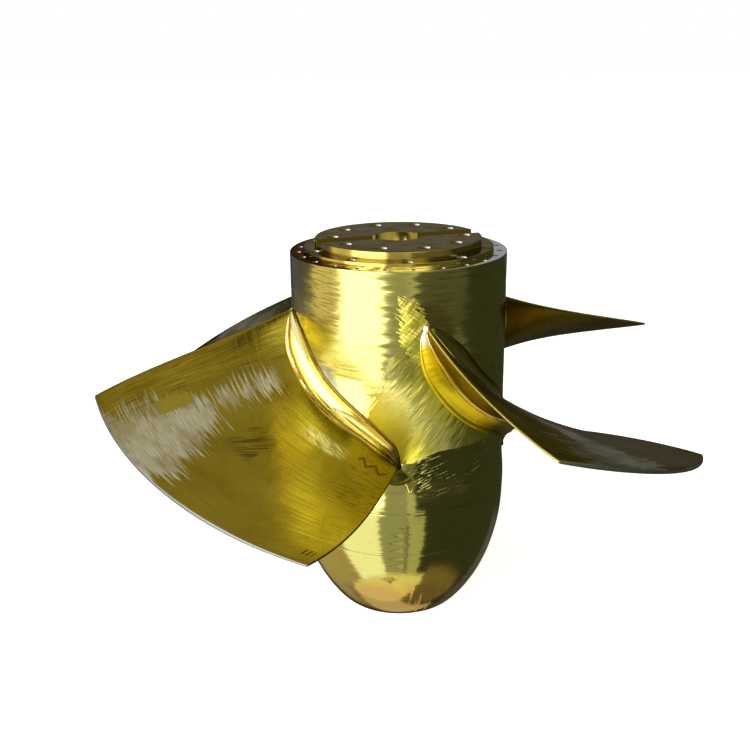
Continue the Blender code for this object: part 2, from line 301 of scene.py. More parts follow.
def floor_paint():
    glow = {"Emission Color": (1.0, 1.0, 1.0), "Emission Strength": 0.86}
    paint, tree, shader = new_paint("floor_paint", {"Roughness": 0.9, "Specular IOR Level": 0.0, **glow})
    cloud = grain(add_node(tree, "TexCoord", output="Object"), 3.0, 4.0)
    feed(shader, {"Base Color": mixed(cloud, (0.80, 0.80, 0.79), (0.88, 0.88, 0.88))})
    return paint


clear_selection()
bpy.ops.mesh.primitive_plane_add(size=60)
floor = bpy.context.object
floor.name = "studio_floor"
floor.data.materials.append(floor_paint())
floor.visible_glossy = False

# %% [markdown]
# A lamp on top. One large soft lamp stands in for the diffuse light of the hall. It gives the floor its soft
# shade under the runner, and hardly shows in the metal.

# %% Hang the lamp
lamp_data = bpy.data.lights.new("hall_lamp", "AREA")
lamp_data.energy = 26
lamp_data.size = 2.4
lamp = bpy.data.objects.new("hall_lamp", lamp_data)
lamp.location = (-1.2, -1.6, 2.6)
lamp.rotation_euler = Vector((1.2, 1.6, -2.2)).to_track_quat("-Z", "Y").to_euler()
lamp.visible_glossy = False
bpy.context.scene.collection.objects.link(lamp)

# %% [markdown]
# Turned pieces. The hub, the cone and the coupling end are turned on a lathe, so each is one outline swept
# round the axis. A spin would do it, but extruding a circle ring by ring keeps the rings exactly where the
# outline says, and leaves a clean net of four-sided faces that later steps can bend and paint. A corner of
# the outline can be given a small radius, because no edge of a real piece is sharp, and a rounded edge is
# what catches the light.

# %% Helpers for turned pieces
ON_AXIS = 0.01 * MM


def round_corners(outline, steps=3):
    """Gives each (radius, height, rounding) corner of an outline its arc, as (radius, height) points."""
    points = []
    for i, (radius, height, rounding) in enumerate(outline):
        corner = Vector((radius, height))
        if rounding == 0:
            points.append(corner)
            continue
        before = Vector(outline[i - 1][:2]) - corner
        after = Vector(outline[(i + 1) % len(outline)][:2]) - corner
        start, end = corner + before.normalized() * rounding, corner + after.normalized() * rounding
        for step in range(steps + 1):
            share = step / steps
            points.append(start.lerp(corner, share).lerp(corner.lerp(end, share), share))
    return [(point.x, point.y) for point in points]


def hold(piece):
    """Makes a piece the only one that is selected."""
    clear_selection()
    bpy.context.view_layer.objects.active = piece
    piece.select_set(True)


def edit_all(piece):
    """Enters edit mode with all of a piece selected."""
    hold(piece)
    bpy.ops.object.mode_set(mode="EDIT")
    bpy.ops.mesh.select_all(action="SELECT")


def finish_mesh(piece, merge=0.02 * MM, fill=False):
    """Merges doubled points, turns all faces outwards and puts the piece's origin on the frame's."""
    edit_all(piece)
    bpy.ops.mesh.remove_doubles(threshold=merge)
    if fill:
        bpy.ops.mesh.fill_holes(sides=0)
        bpy.ops.mesh.select_all(action="SELECT")
    bpy.ops.mesh.normals_make_consistent(inside=False)
    bpy.ops.object.mode_set(mode="OBJECT")
    bpy.ops.object.transform_apply(location=True, rotation=True, scale=True)


def lathe(name, outline, closed=True):
    """Turns an outline into a piece: a ring of points that is extruded from one outline point to the next."""
    points = [(max(radius, ON_AXIS), height) for radius, height in round_corners(outline)]
    radius, height = points[0]
    clear_selection()
    bpy.ops.mesh.primitive_circle_add(vertices=SIDES, radius=radius, location=(0, 0, height))
    piece = bpy.context.object
    piece.name = piece.data.name = name
    edit_all(piece)
    for next_radius, next_height in points[1:] + (points[:1] if closed else []):
        bpy.ops.mesh.extrude_edges_move(TRANSFORM_OT_translate={"value": (0, 0, next_height - height)})
        grow = next_radius / radius
        bpy.ops.transform.resize(value=(grow, grow, 1), center_override=(0, 0, next_height))
        radius, height = next_radius, next_height
    finish_mesh(piece)
    return piece


def smooth(piece, angle=32):
    hold(piece)
    bpy.ops.object.shade_smooth_by_angle(angle=radians(angle))


def points_of(mesh):
    place = np.empty(3 * len(mesh.vertices))
    mesh.vertices.foreach_get("co", place)
    return place.reshape(-1, 3)


def paint_points(mesh, name, values):
    """Keeps one number for each point of a mesh, for a shader to read."""
    layer = mesh.attributes.new(name, "FLOAT", "POINT")
    layer.data.foreach_set("value", np.asarray(values, np.float32))


# %% [markdown]
# The barrel's outline. Below the blades the barrel swells by four millimetres to meet the cone, and the cone
# is a superellipse that runs in from there to the flat base. Both are functions of the height, so the three
# pieces of the hub meet without a step.

# %% Outline of the barrel, the cone and the nose
SWELL_HEIGHT = 273 * MM
SWELL_RADIUS = 214 * MM
BASE_RADIUS = 117 * MM
WAVE_HEIGHT = 0.5 * MM
WAVE_LENGTH = 70 * MM
SEAM_ROUNDING = 0.25 * MM


def hub_radius(height):
    if height >= SWELL_HEIGHT:
        rise = min((height - SWELL_HEIGHT) / (70 * MM), 1.0)
        return HUB_RADIUS + (SWELL_RADIUS - HUB_RADIUS) * (1 - rise) ** 2 * (1 + 2 * rise)
    share = (SWELL_HEIGHT - height) / SWELL_HEIGHT
    return BASE_RADIUS + (SWELL_RADIUS - BASE_RADIUS) * (1 - share**2.25) ** (1 / 1.19)


def wall(low, high, steps, crowd=1.0):
    """Points up the hub's outer wall; a crowd above 1 draws them together near the low end."""
    heights = [low + (high - low) * (i / steps) ** crowd for i in range(steps + 1)]
    return [(hub_radius(height), height, 0) for height in heights]


def ripple(piece):
    """Leaves the slight waves of a hand-held grinder in a round wall, as real as its shape."""
    place = points_of(piece.data)
    for i, (x, y, z) in enumerate(place):
        distance = max((x * x + y * y) ** 0.5, MM)
        wave = WAVE_HEIGHT * noise.noise(Vector((x, y, z)) / WAVE_LENGTH) * min(1.0, distance / (60 * MM))
        place[i, 0] += x / distance * wave
        place[i, 1] += y / distance * wave
    piece.data.vertices.foreach_set("co", place.ravel())
    piece.data.update()


# %% [markdown]
# The barrel. Its wall is turned, then ground by hand round the blade roots. The rim face carries 24 small
# tapped holes. A hole with a countersink is one cutter: a cylinder whose top is extruded and widened. The
# cutter is made once, copied round the circle, and taken away from the ring by a Boolean modifier.

# %% Helpers for holes
def pick_faces(piece, wanted):
    """Enters edit mode with just the faces selected that the test wants."""
    hold(piece)
    bpy.ops.object.mode_set(mode="EDIT")
    bpy.ops.mesh.select_mode(type="FACE")
    bpy.ops.mesh.select_all(action="DESELECT")
    bpy.ops.object.mode_set(mode="OBJECT")
    for face in piece.data.polygons:
        face.select = wanted(face)
    bpy.ops.object.mode_set(mode="EDIT")


def hole_cutter(radius, depth, face_height, sink):
    """A cutter for one hole with a countersink, standing on the axis."""
    clear_selection()
    middle = (0, 0, face_height - sink - (depth - sink) / 2)
    bpy.ops.mesh.primitive_cylinder_add(vertices=32, radius=radius, depth=depth - sink, location=middle)
    cutter = bpy.context.object
    bpy.ops.object.transform_apply(location=True)
    pick_faces(cutter, lambda face: face.normal.z > 0.99)
    bpy.ops.mesh.extrude_region_move(TRANSFORM_OT_translate={"value": (0, 0, sink)})
    grow = (radius + sink) / radius
    bpy.ops.transform.resize(value=(grow, grow, 1), center_override=(0, 0, face_height))
    bpy.ops.mesh.extrude_region_move(TRANSFORM_OT_translate={"value": (0, 0, 8 * MM)})
    bpy.ops.mesh.select_mode(type="VERT")
    bpy.ops.object.mode_set(mode="OBJECT")
    return cutter


def copy_of(piece, name, move):
    """A copy of a piece with its own mesh, moved by a matrix."""
    copy = bpy.data.objects.new(name, piece.data.copy())
    copy.data.name = name
    copy.data.transform(move)
    bpy.context.scene.collection.objects.link(copy)
    return copy


def take_away(piece, cutter):
    """Cuts a piece by a cutter and removes the cutter."""
    hold(piece)
    cut = piece.modifiers.new("cut", "BOOLEAN")
    cut.operation = "DIFFERENCE"
    cut.object = cutter
    cut.solver = "EXACT"
    bpy.ops.object.modifier_apply(modifier=cut.name)
    bpy.data.objects.remove(cutter)


def on_circle(pitch, azimuth):
    return Matrix.Translation((pitch * cos(azimuth), pitch * sin(azimuth), 0))


def drill(piece, face_height, radius, depth, sink, count, pitch, azimuth):
    """Drills a ring of holes into a face: its cutters are copied round the pitch circle and joined."""
    cutter = hole_cutter(radius, depth, face_height, sink)
    places = [on_circle(pitch, azimuth + 2 * pi * i / count) for i in range(count)]
    copies = [copy_of(cutter, "drill", place) for place in places]
    bpy.data.objects.remove(cutter)
    hold(copies[0])
    for copy in copies:
        copy.select_set(True)
    bpy.ops.object.join()
    take_away(piece, bpy.context.object)


# %% Turn the barrel and drill its rim
RING_OUTER = 184 * MM
RIM_HOLES = dict(radius=4 * MM, depth=25 * MM, sink=1.8 * MM, count=24, pitch=195 * MM, azimuth=radians(8.4))


def make_barrel():
    inner = RING_OUTER + SEAT_GAP
    outline = [(inner, BARREL_FOOT_HEIGHT, 0)]
    outline += [(hub_radius(BARREL_FOOT_HEIGHT), BARREL_FOOT_HEIGHT, SEAM_ROUNDING)]
    outline += wall(BARREL_FOOT_HEIGHT + 4 * MM, RIM_HEIGHT - 4 * MM, 72)
    outline += [(HUB_RADIUS, RIM_HEIGHT, 1.2 * MM), (inner, RIM_HEIGHT, 0.8 * MM)]
    outline += [(inner, RIM_HEIGHT - 60 * MM, 0)]
    piece = lathe("barrel_skin", outline)
    ripple(piece)
    drill(piece, RIM_HEIGHT, **RIM_HOLES)
    smooth(piece)
    return piece


barrel = make_barrel()
print("Barrel faces:", len(barrel.data.polygons))

# %% [markdown]
# The cone. It is two pieces on the real runner, a ring and a cap, with a fine seam between them. Both follow
# the same outline function as the barrel.

# %% Turn the cone and its cap
def make_cone():
    low, high = NOSE_SEAM_HEIGHT, BARREL_FOOT_HEIGHT - SEAT_GAP
    outline = [(hub_radius(low) - HUB_WALL, low, 0), (hub_radius(low), low, SEAM_ROUNDING)]
    outline += wall(low + 3 * MM, high - 3 * MM, 18)
    outline += [(hub_radius(high), high, SEAM_ROUNDING), (hub_radius(high) - HUB_WALL, high, 0)]
    return lathe("cone_skin", outline)


def make_nose():
    high, bend = NOSE_SEAM_HEIGHT - SEAT_GAP, 60 * MM
    outline = [(0, 0, 0), (60 * MM, 0, 0), (hub_radius(0) - 2 * MM, 0, 0), (hub_radius(0), 0.4 * MM, 0)]
    outline += wall(1.5 * MM, high - 3 * MM, 44, crowd=1.5)
    outline += [(hub_radius(high), high, SEAM_ROUNDING), (hub_radius(high) - HUB_WALL, high, 0)]
    outline += [(hub_radius(bend) - HUB_WALL, bend, 0), (90 * MM, HUB_WALL, 0), (0, HUB_WALL, 0)]
    return lathe("nose_skin", outline, closed=False)


cone = make_cone()
nose = make_nose()
for piece in (cone, nose):
    ripple(piece)
    smooth(piece)
print("Cone and cap faces:", len(cone.data.polygons), len(nose.data.polygons))

# %% [markdown]
# The coupling end. The shaft's flange bolts down on the raised disc, a key lies in the slot across it, and a
# spigot enters the bore. Each hole gets the same kind of countersunk cutter as the rim. The slot's cutter is
# a block, as a mill would leave it.

# %% Turn the disc, mill its slot and drill it
STEP_FACE = RIM_HEIGHT + 9 * MM
DISC_FACE = RIM_HEIGHT + 25 * MM
FLOOR_OF_COUPLING = RIM_HEIGHT - 40 * MM
DISC_RADIUS = 161 * MM
DISC_BORE = 45 * MM
SLOT_LENGTH = 360 * MM
SLOT_WIDTH = 38 * MM
SLOT_AZIMUTH = radians(18.5)
BOLT_HOLES = dict(
    radius=9.4 * MM, depth=40 * MM, sink=2.6 * MM, count=10, pitch=127.5 * MM, azimuth=radians(3.5)
)
RING_HOLES = dict(
    radius=8.5 * MM, depth=30 * MM, sink=2 * MM, count=10, pitch=172.5 * MM, azimuth=radians(23.3)
)


def slot_cutter():
    clear_selection()
    tall = DISC_FACE - STEP_FACE + 10 * MM
    sizes = (SLOT_LENGTH, SLOT_WIDTH, tall)
    bpy.ops.mesh.primitive_cube_add(size=1, location=(0, 0, STEP_FACE + tall / 2), scale=sizes)
    bpy.ops.object.transform_apply(location=True, scale=True)
    bpy.context.object.data.transform(Matrix.Rotation(SLOT_AZIMUTH, 4, "Z"))
    return bpy.context.object


def make_disc():
    bore, rim = DISC_BORE, DISC_RADIUS
    faces = [(radius * MM, DISC_FACE, 0) for radius in (150, 137, 124, 111, 98, 85, 72, 58)]
    outline = [(bore, FLOOR_OF_COUPLING, 0), (rim, FLOOR_OF_COUPLING, 0), (rim, STEP_FACE, 0)]
    outline += [(rim, DISC_FACE, 1.0 * MM)] + faces + [(bore, DISC_FACE, 1.0 * MM), (bore, STEP_FACE, 0)]
    piece = lathe("coupling_face", outline)
    take_away(piece, slot_cutter())
    drill(piece, DISC_FACE, **BOLT_HOLES)
    smooth(piece)
    return piece


def make_step_ring():
    inner, outer = DISC_RADIUS + SEAT_GAP, RING_OUTER
    outline = [(inner, FLOOR_OF_COUPLING, 0), (outer, FLOOR_OF_COUPLING, 0), (outer, RIM_HEIGHT, 0)]
    outline += [(outer, STEP_FACE, 0.8 * MM), (174 * MM, STEP_FACE, 0), (inner, STEP_FACE, 0.6 * MM)]
    piece = lathe("step_ring_skin", outline)
    drill(piece, STEP_FACE, **RING_HOLES)
    smooth(piece)
    return piece


disc = make_disc()
step_ring = make_step_ring()
print("Disc and ring faces:", len(disc.data.polygons), len(step_ring.data.polygons))

# %% [markdown]
# The bush and the plug. A turned bush lines the bore, with a shallow groove near its top, and one hole of
# the step ring is stopped with a grey steel plug. Both are small turned pieces.

# %% Turn the bush and the plug
PLUGGED_HOLE = 8


def make_bush():
    low, high = FLOOR_OF_COUPLING - SEAT_GAP - 20 * MM, RIM_HEIGHT + 4 * MM
    bore, outer, groove = 36 * MM, DISC_BORE - SEAT_GAP, 37.2 * MM
    outline = [(bore, low, 0.5 * MM), (outer, low, 0), (outer, high, 0.6 * MM), (bore, high, 1.0 * MM)]
    outline += [(bore, high - 6 * MM, 0), (groove, high - 7 * MM, 0), (groove, high - 10 * MM, 0)]
    outline += [(bore, high - 11 * MM, 0)]
    return lathe("bush_skin", outline)


def make_plug():
    radius, dent = RING_HOLES["radius"] - SEAT_GAP, 0.6 * MM
    low, high = STEP_FACE - RING_HOLES["depth"] + SEAT_GAP, STEP_FACE - 1.5 * MM
    outline = [(0, low, 0), (radius, low, 0), (radius, high, 0.7 * MM), (3 * MM, high, 0)]
    outline += [(2 * MM, high - dent, 0), (0, high - dent, 0)]
    piece = lathe("plug_skin", outline, closed=False)
    angle = RING_HOLES["azimuth"] + 2 * pi * PLUGGED_HOLE / RING_HOLES["count"]
    piece.data.transform(on_circle(RING_HOLES["pitch"], angle))
    return piece


bush = make_bush()
plug = make_plug()
smooth(bush)
smooth(plug)

# %% [markdown]
# The blades. A blade is a thin wing that twists from its root to its tip, and every section of it lies on a
# cylinder round the axis. No extrusion gives that shape, so a flat grid is bent into it: one way along the
# grid runs round the section, over the upper skin and back under it, and the other way runs from the root to
# the tip. The four numbers in each line below are the values at four sections, and a smooth curve joins
# them.

# %% Shape of a blade
TIP_RADIUS = 597 * MM
LEAD_AZIMUTH = (194.3, 197.9, 200.6, 203.9)
LEAD_DROP = (106 * MM, 148.5 * MM, 183 * MM, 219 * MM)
TRAIL_AZIMUTH = (269.3, 265.1, 261.5, 256.3)
TRAIL_DROP = (368.5 * MM, 365 * MM, 369.5 * MM, 375 * MM)
CAMBER_SAG = (39 * MM, 25.5 * MM, 16 * MM, 6.5 * MM)
CAMBER_SWAY = (46 * MM, 13.5 * MM, -3 * MM, -4 * MM)
THICKNESS = (40 * MM, 18.5 * MM, 9 * MM, 8 * MM)
SECTIONS = (LEAD_AZIMUTH, TRAIL_AZIMUTH, LEAD_DROP, TRAIL_DROP, CAMBER_SAG, CAMBER_SWAY, THICKNESS)
EDGE = 4.2 * MM


def along_span(values, t):
    a, b, c, d = values
    u = 3 * t
    return (
        -a * (u - 1) * (u - 2) * (u - 3) / 6
        + b * u * (u - 2) * (u - 3) / 2
        - c * u * (u - 1) * (u - 3) / 2
        + d * u * (u - 1) * (u - 2) / 6
    )


def blade_point(s, radius, side, off=0.0, along=0.0, thin=0.0):
    """A point of a blade at s of its chord and a radius, on the skin of one side or on the middle (side 0).

    It stands off the skin by off, square to it, and past the chord's nearer end by along. A blade that is
    made thin loses that much of its half thickness.
    """
    t = (radius - HUB_RADIUS) / (TIP_RADIUS - HUB_RADIUS)
    lead, trail, drop, trail_drop, sag, sway, thickness = [along_span(values, t) for values in SECTIONS]
    lead, sweep, fall = radians(lead), radians(trail) - radians(lead), trail_drop - drop
    height = RIM_HEIGHT - drop - fall * s - 4 * s * (1 - s) * (sag + sway * (1 - 2 * s))
    slope = -fall - 4 * sag * (1 - 2 * s) - 4 * sway * (1 - 6 * s + 6 * s * s)
    run = radius * sweep
    length = (run * run + slope * slope) ** 0.5
    fullness = s**0.5 * (1 - s) / (3**-0.5 * 2 / 3)
    half = (EDGE + max(thickness - EDGE, 0.0) * fullness) / 2
    reach = side * (max(half - thin, 0.0) + off)
    end = along * (1 if s > 0.5 else -1)
    across = (-slope * reach + run * end) / length
    up = (run * reach + slope * end) / length
    bow = 3 * MM * max(t, 0.0) ** 3 * 4 * s * (1 - s)
    angle = lead + sweep * s + across / radius
    out = radius + bow
    return Vector((out * cos(angle), out * sin(angle), height + up))


def bend_grid(name, columns, rows, place, spot):
    """Adds a flat grid and moves its point at column i, row j to place(i, j), with spot(i, j) as its UV."""
    clear_selection()
    bpy.ops.mesh.primitive_grid_add(x_subdivisions=columns, y_subdivisions=rows, size=2)
    piece = bpy.context.object
    piece.name = piece.data.name = name
    mesh = piece.data
    flat = points_of(mesh)
    cells = np.rint((flat[:, :2] + 1) / 2 * (columns, rows)).astype(int)
    bent = [place(i, j) for i, j in cells]
    spots = [spot(i, j) for i, j in cells]
    mesh.vertices.foreach_set("co", np.array([c for point in bent for c in point]))
    layer = mesh.uv_layers.active or mesh.uv_layers.new(name="UVMap")
    corner = np.empty(len(mesh.loops), int)
    mesh.loops.foreach_get("vertex_index", corner)
    layer.data.foreach_set("uv", np.array(spots, np.float32)[corner].ravel())
    mesh.update()
    return piece


# %% Bend one blade
CHORD_STEPS = 54
SPAN_STEPS = 44
ARC = 6
CHORD_ON_MAP = 0.4
UNDER_ON_MAP = -0.1


def section_places():
    """Round one section from the upper lead edge: (s, side, share of the edge's rounding)."""
    shares = [0.5 * (1 - cos(pi * i / CHORD_STEPS)) for i in range(CHORD_STEPS + 1)]
    places = [(s, 1, 0) for s in shares]
    places += [(1.0, 0, k / ARC) for k in range(1, ARC)]
    places += [(s, -1, 0) for s in reversed(shares)]
    places += [(0.0, 0, k / ARC) for k in range(ARC - 1, 0, -1)]
    return places + [(0.0, 1, 0)]


def blade_rows():
    """Along one blade: (radius, loss of half thickness) from the closed root to the closed tip."""
    root, tip = HUB_RADIUS + SEAT_GAP, TIP_RADIUS
    inner = [root + (tip - 1.2 * MM - root) * (j / SPAN_STEPS) for j in range(SPAN_STEPS + 1)]
    rows = [(root, 1.0)] + [(radius, 0.0) for radius in inner]
    return rows + [(tip - 0.4 * MM, 0.35 * MM), (tip, 1.1 * MM), (tip, 1.0)]


def blade_surface(s, side, share, radius, thin):
    if side:
        return blade_point(s, radius, side, thin=thin)
    turn_round = pi * share
    full = max(EDGE / 2 - thin, 0.0)
    top, bottom = blade_point(s, radius, 1, thin=thin), blade_point(s, radius, -1, thin=thin)
    out = blade_point(s, radius, 0, along=full * 0.9 * sin(turn_round))
    return out + (top - bottom) / 2 * cos(turn_round)


def mark_edges(mesh, quarter):
    """Gives the second finish to the middle of the rounded lead edge and the third to the flat of the tip."""
    spots = mesh.uv_layers.active.data
    back = Matrix.Rotation(-quarter * pi / 2, 3, "Z")
    for face in mesh.polygons:
        out = face.center.xy.length
        if out > TIP_RADIUS - 1.3 * MM and face.normal.xy.dot(face.center.xy.normalized()) > 0.5:
            face.material_index = 2
        elif all(abs(spots[corner].uv.x) <= 0.0001 for corner in face.loop_indices):
            middle = blade_point(0.0, out, 0)
            ahead = (blade_point(0.0, out, 0, along=MM) - middle).normalized()
            if (back @ face.center - middle).dot(ahead) > 0.72 * EDGE / 2:
                face.material_index = 1


def make_blade():
    places, rows = section_places(), blade_rows()

    def place(i, j):
        s, side, share = places[i]
        radius, thin = rows[j]
        point = blade_surface(s, side, share, radius, thin)
        if side and thin == 0:
            edge_fade = min(1.0, 12 * s * (1 - s))
            wave = 0.35 * MM * noise.noise(point / (80 * MM)) * edge_fade
            point = blade_point(s, radius, side, off=wave)
        return point

    def spot(i, j):
        s, side = places[i][:2]
        on_map = s * CHORD_ON_MAP
        return on_map if side >= 0 else UNDER_ON_MAP - on_map, rows[j][0] - HUB_RADIUS

    piece = bend_grid("blade", len(places) - 1, len(rows) - 1, place, spot)
    finish_mesh(piece)
    return piece


def four_of(first, name):
    """Copies a piece a quarter turn at a time, each copy with its own mesh."""
    turns = [Matrix.Rotation(i * pi / 2, 4, "Z") for i in range(4)]
    pieces = [copy_of(first, f"{name}_{i + 1}", turns[i]) for i in range(4)]
    for piece in pieces:
        smooth(piece, 40)
    bpy.data.objects.remove(first)
    return pieces


blades = four_of(make_blade(), "blade_skin")
print("Blade faces:", len(blades[0].data.polygons))

# %% [markdown]
# The root welds. Each blade is welded to the hub all round, and the weld is ground to a hollow with a disc.
# The grinder leaves a low ridge where the hollow meets the blade and a narrow lip where it meets the hub,
# and those two lines catch the light. The grid is bent once more: across it runs over the weld, along it
# runs the root.

# %% Bend the welds
WELD_LEG = 30.5 * MM
WELD_LIP = 1.5 * MM
WELD_STEPS = 96
NOSE_TURN = 8
ARC_STEPS = 26


def clamped(value):
    return min(max(value, 0.0), 1.0)


def bump(value, middle, half):
    """A smooth rise to 1 and back round the middle."""
    away = abs(value - middle) / half
    return (1 - away * away) ** 2 if away < 1 else 0.0


def weld_shares():
    """Over the weld: inside on the hub, out along the hub, over the hollow, and back inside on the blade."""
    return [-2.0, -1.0] + [i / ARC_STEPS for i in range(ARC_STEPS + 1)] + [2.0, 3.0]


def weld_section(share, s, side):
    """The place of one point of the weld's section: (off the blade, off the hub), for a leg of full size."""
    if share in (-2.0, 3.0):
        return 0.0, 0.0
    if share == -1.0:
        return WELD_LEG, 0.0
    if share == 2.0:
        return 0.0, WELD_LEG
    turn_in = pi / 2 * share
    wobble = noise.noise(Vector((s * 14, side * 7.0, 4.0)))
    jag = noise.noise(Vector((s * 60, side * 3.0, 9.0)))
    relief = (1.7 * MM + 0.9 * MM * wobble + 0.5 * MM * jag) * bump(share, 0.90, 0.09)
    relief += (1.3 * MM + 0.6 * MM * wobble) * bump(share, 0.07, 0.08)
    relief -= 0.8 * MM * bump(share, 0.17, 0.07)
    relief -= 0.9 * MM * bump(share, 0.80, 0.07)
    relief += (1.6 * MM + 0.6 * MM * jag) * bump(share, 0.62, 0.12) * clamped((s - 0.5) * 6)
    relief += 0.8 * MM * noise.noise(Vector((s * 8, side * 5.0, share * 2)))
    reach = WELD_LEG - WELD_LIP - relief
    return max(WELD_LEG - reach * sin(turn_in), SEAT_GAP), max(WELD_LEG - reach * cos(turn_in), SEAT_GAP)


def weld_size(s, side):
    """How large the weld is at s of the chord. Both run out to a point at the lead edge, the upper one also
    at the trail edge, where the lower one grows instead."""
    start, end = 1 - clamped(s / 0.16), 1 - clamped((1 - s) / 0.12)
    full = 1 - 0.8 * start * start
    if side < 0:
        return full * (1 + 0.2 * clamped((s - 0.7) / 0.25))
    slim = clamped((s - 0.5) / 0.4)
    return full * (1 - 0.75 * end * end) * (1 - 0.22 * slim * slim * (3 - 2 * slim))


def weld_stations():
    """Along the root: (s, share of the turn round the lead or trail edge)."""
    shares = [0.5 * (1 - cos(pi * (0.04 + 0.92 * i / WELD_STEPS))) for i in range(WELD_STEPS + 1)]
    shares[0], shares[-1] = 0.0, 1.0
    before = [(0.0, 1 - i / NOSE_TURN) for i in range(NOSE_TURN)]
    after = [(1.0, (i + 1) / NOSE_TURN) for i in range(NOSE_TURN)]
    return before + [(s, 0.0) for s in shares] + after


def past_end(s, fan):
    """The place along the root, a little past the ends where the weld turns round an edge."""
    return s + 0.06 * fan * (1 if s > 0.5 else -1)


def make_weld(side):
    shares, stations = weld_shares(), weld_stations()
    root = HUB_RADIUS + SEAT_GAP

    def place(i, j):
        s, fan = stations[j]
        off_blade, off_hub = weld_section(shares[i], past_end(s, fan), side)
        size = weld_size(s, side)
        radius, reach = root + off_hub * size, off_blade * size + 0.15 * MM
        if fan == 0:
            return blade_point(s, radius, side, off=reach)
        turn_out = fan * pi / 2
        middle = blade_point(s, radius, 0)
        across = (blade_point(s, radius, side) - middle).normalized() * (EDGE / 2 + reach) * cos(turn_out)
        forward = blade_point(s, radius, 0, along=(EDGE / 2 + reach) * sin(turn_out)) - middle
        return middle + across + forward

    def spot(i, j):
        s, fan = stations[j]
        return clamped(shares[i]), past_end(s, fan)

    name = "weld_upper" if side > 0 else "weld_lower"
    piece = bend_grid(name, len(shares) - 1, len(stations) - 1, place, spot)
    finish_mesh(piece, merge=0.005 * MM, fill=True)
    return piece


upper_welds = four_of(make_weld(1), "weld_upper_skin")
lower_welds = four_of(make_weld(-1), "weld_lower_skin")
print("Weld faces:", len(upper_welds[0].data.polygons), len(lower_welds[0].data.polygons))

# %% [markdown]
# Where the grinder went. Round each blade's lower weld the hub was dressed by hand, in strokes that run up
# to the right, down to a ring just under the blades; below that ring it is still smooth from the lathe. The
# shader can't know where a blade is, so each point of the barrel is given five distances: how far it lies
# inside the dressed zone, inside a patch by the lead edge, above the zone's foot, from the nearest root and
# over it.

# %% Measure the dressed zone on the barrel
ZONE_FOOT = 390 * MM
ZONE_TOP = 640 * MM
# Left side of the zone: height, and how far it lies left of the blade's lead edge in degrees
ZONE_SIDE = {390 * MM: 43, 411 * MM: 40, 495 * MM: 27, 573 * MM: 17, 600 * MM: 10, 625 * MM: 3}
BLADE_SPAN = TRAIL_AZIMUTH[0] - LEAD_AZIMUTH[0]
PATCH_FOOT = 601 * MM
PATCH_STEP = 628 * MM
PATCH_TOP = 686 * MM
# How much higher the patch's foot lies for each degree to the left
PATCH_SLANT = 4.6 * MM


def root_height(s):
    fall = TRAIL_DROP[0] - LEAD_DROP[0]
    sag = CAMBER_SAG[0] + CAMBER_SWAY[0] * (1 - 2 * s)
    return RIM_HEIGHT - LEAD_DROP[0] - fall * s - 4 * s * (1 - s) * sag


def on_wall(degrees):
    """The distance round the hub that an angle in degrees takes."""
    return np.radians(degrees) * HUB_RADIUS


def least(*values):
    return np.minimum.reduce(np.broadcast_arrays(*values))


def zone_inside(right, height, share):
    """How far inside the dressed zone a point lies, from its angle right of the blade's lead edge."""
    side_now = np.interp(height, list(ZONE_SIDE), list(ZONE_SIDE.values()))
    below = root_height(share) - height + np.where(right < 0, on_wall(-right) * 1.6, 0)
    return least(on_wall(right + side_now), ZONE_TOP - height, below, on_wall(80 - right))


def patch_inside(right, height):
    """How far inside the patch at the lead edge, which was ground across, a point lies."""
    foot = PATCH_FOOT - (right + 13.3) * PATCH_SLANT
    end = np.where(height > PATCH_STEP, 2 - (height - PATCH_STEP) / (7 * MM), 6)
    return least(on_wall(14 + right), on_wall(end - right), PATCH_TOP - height, height - foot)


def above_blade(right, height, share):
    """How far over the blade's root a point lies, and a metre where there is no blade under it."""
    over = height - root_height(share) + np.clip(16 - right, 0, 12) * 12 * MM
    return np.where((right > -4) & (right < BLADE_SPAN + 4) & (over > 0), over, 1.0)


def root_distance(right, height):
    shares = np.linspace(0, 1, 121)
    across = on_wall(right)[:, None] - on_wall(shares * BLADE_SPAN)
    return np.hypot(across, height[:, None] - root_height(shares)).min(axis=1)


def measure_zone(mesh):
    place = points_of(mesh)
    azimuth = np.degrees(np.arctan2(place[:, 1], place[:, 0]))
    height = place[:, 2]
    side, patch = np.full(len(place), -1.0), np.full(len(place), -1.0)
    gap, above = np.full(len(place), 1.0), np.full(len(place), 1.0)
    foot = np.full(len(place), ZONE_FOOT)
    for blade in range(4):
        right = (azimuth - LEAD_AZIMUTH[0] - 90 * blade + 240) % 360 - 240
        share = np.clip(right / BLADE_SPAN, 0, 1)
        side = np.maximum(side, zone_inside(right, height, share))
        patch = np.maximum(patch, patch_inside(right, height))
        gap = np.minimum(gap, root_distance(right, height))
        above = np.minimum(above, above_blade(right, height, share))
        lower_foot = np.interp(right, (-7, 5), (371 * MM, ZONE_FOOT))
        foot = np.where((right > -18) & (right < 5), lower_foot, foot)
    paint_points(mesh, "zone_side", np.clip(side, -0.1, 0.1))
    paint_points(mesh, "lead_patch", np.clip(patch, -0.1, 0.1))
    paint_points(mesh, "zone_foot", np.clip(height - foot, -0.2, 0.2))
    paint_points(mesh, "root_gap", gap)
    paint_points(mesh, "above_root", above)


measure_zone(barrel.data)

# %% [markdown]
# Coordinates for the finishes. A turned wall is patterned round the axis, so its pattern needs the distance
# round the hub and the height instead of x, y and z. The distance comes from the arc tangent, turned so that
# its seam lies at the back.

# %% Coordinates round the axis, a normal that leans, and strokes
def place_on(tree):
    return parts_of(add_node(tree, "TexCoord", output="Object"))


def place_on_map(tree):
    return parts_of(add_node(tree, "TexCoord", output="UV"))[:2]


